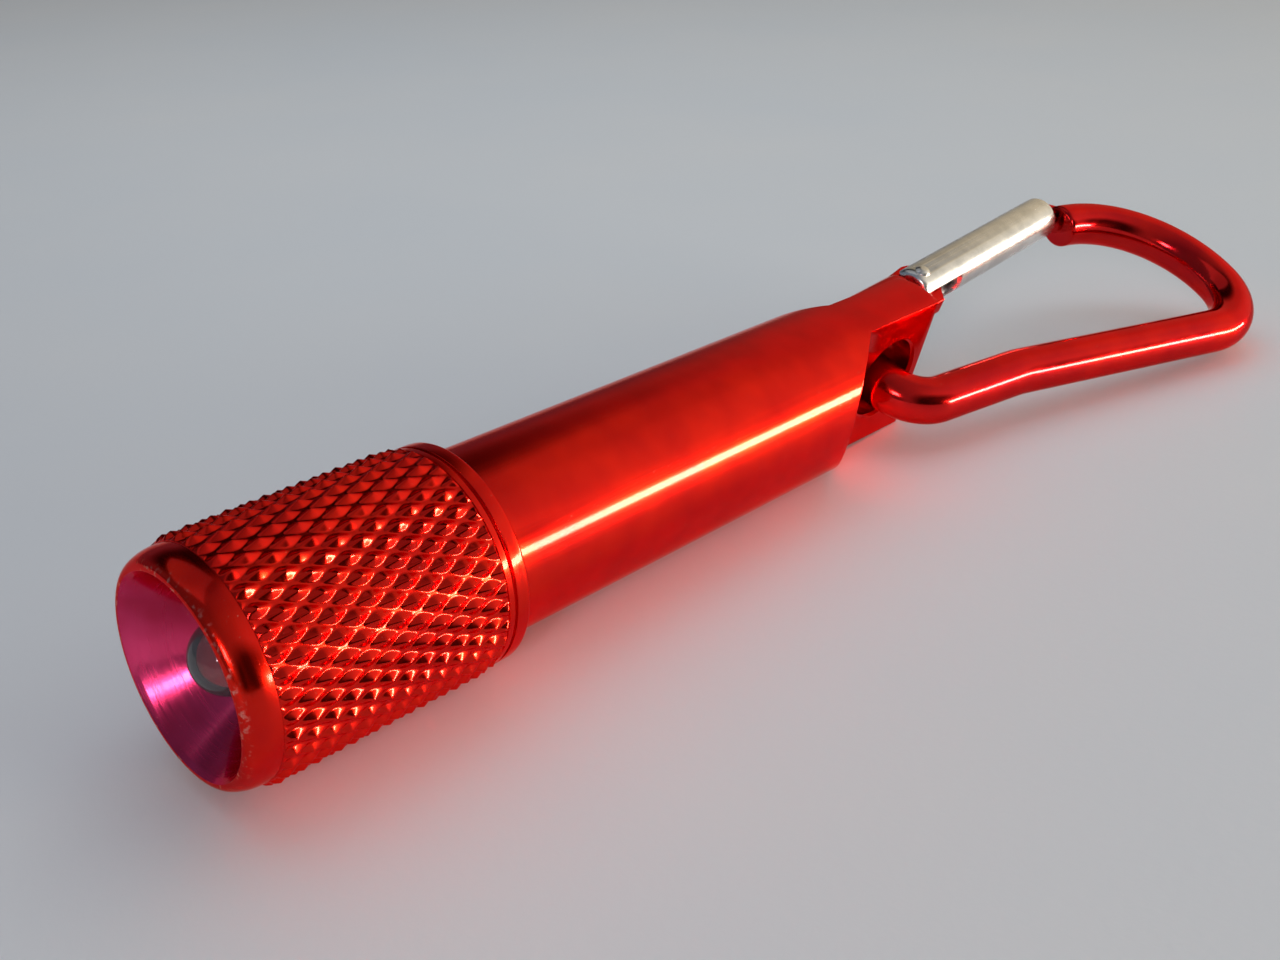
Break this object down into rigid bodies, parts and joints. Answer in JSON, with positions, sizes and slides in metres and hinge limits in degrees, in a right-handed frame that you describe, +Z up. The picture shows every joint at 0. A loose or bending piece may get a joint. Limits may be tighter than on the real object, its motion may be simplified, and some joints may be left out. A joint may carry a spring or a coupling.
{
  "type": "keychain flashlight",
  "caption": "Small twist-head flashlight: knurled red anodised head, plain barrel, milled tail tongue with an eye, and a carabiner with a sprung silver gate.",
  "frame": {"origin": "on the flashlight's axis, at the middle of the plain barrel between the head's collar and the milled tail", "axes": "+X runs along the flashlight's axis from the lens to the tail and the carabiner; +Z is up, square to the table that the flashlight lies along; +Y completes the right-handed set"},
  "size_m": [0.1137, 0.0258, 0.0166],
  "materials": {
    "red_anodised": "glossy red anodised",
    "bright_aluminium": "bright polished",
    "steel": "bright drawn",
    "clear_resin": "clear moulded",
    "phosphor": "matt",
    "white_plastic": "moulded",
    "gasket": "moulded",
    "cell_steel": "nickel plated",
    "film": "thin film"
  },
  "bodies": {
    "barrel": {"barrel": "red_anodised", "tail_spring": "steel"},
    "light_engine": {"led_lens": "clear_resin", "led_anode": "steel", "led_cathode": "steel", "led_die": "phosphor", "led_holder": "white_plastic", "cell_1_can": "cell_steel", "cell_1_gasket": "gasket", "cell_1_cap": "cell_steel", "cell_2_can": "cell_steel", "cell_2_gasket": "gasket", "cell_2_cap": "cell_steel", "cell_3_can": "cell_steel", "cell_3_gasket": "gasket", "cell_3_cap": "cell_steel", "cell_4_can": "cell_steel", "cell_4_gasket": "gasket", "cell_4_cap": "cell_steel", "cell_sleeve": "film"},
    "head": {"head": "red_anodised"},
    "carabiner": {"carabiner_frame": "red_anodised", "gate_pin": "steel"},
    "gate": {"gate": "bright_aluminium", "gate_spring": "steel"},
    "gate_plunger": {"gate_plunger": "steel"}
  },
  "joints": [
    {"name": "head_advance", "type": "slide", "parent": "barrel", "child": "light_engine", "axis": [1, 0, 0], "range_m": [-0.00375, 0.00038], "deforming": ["tail_spring"]},
    {"name": "head_twist", "type": "hinge", "parent": "light_engine", "child": "head", "pos_m": [0, 0, 0], "axis": [1, 0, 0], "range_deg": [-1800, 180]},
    {"name": "carabiner_swing", "type": "hinge", "parent": "barrel", "child": "carabiner", "pos_m": [0.0285, 0, 0], "axis": [0, 0.9659, 0.2588], "range_deg": [-95, 105]},
    {"name": "gate_open", "type": "hinge", "parent": "carabiner", "child": "gate", "pos_m": [0.04196, 0.00428, 0.00277], "axis": [0.1035, 0.3893, -0.9153], "range_deg": [0, 25], "stiffness_Nm_per_rad": 0.03, "springref_deg": -45.84},
    {"name": "plunger_push", "type": "slide", "parent": "gate", "child": "gate_plunger", "axis": [0.9941, -0.011, 0.1078], "range_m": [0, 0.0005], "stiffness_N_per_m": 400, "springref_m": -0.001, "deforming": ["gate_spring"]}
  ],
  "couplings": [
    {"joint": "head_advance", "follows": "head_twist", "m_per_rad": 0.00011937}
  ]
}
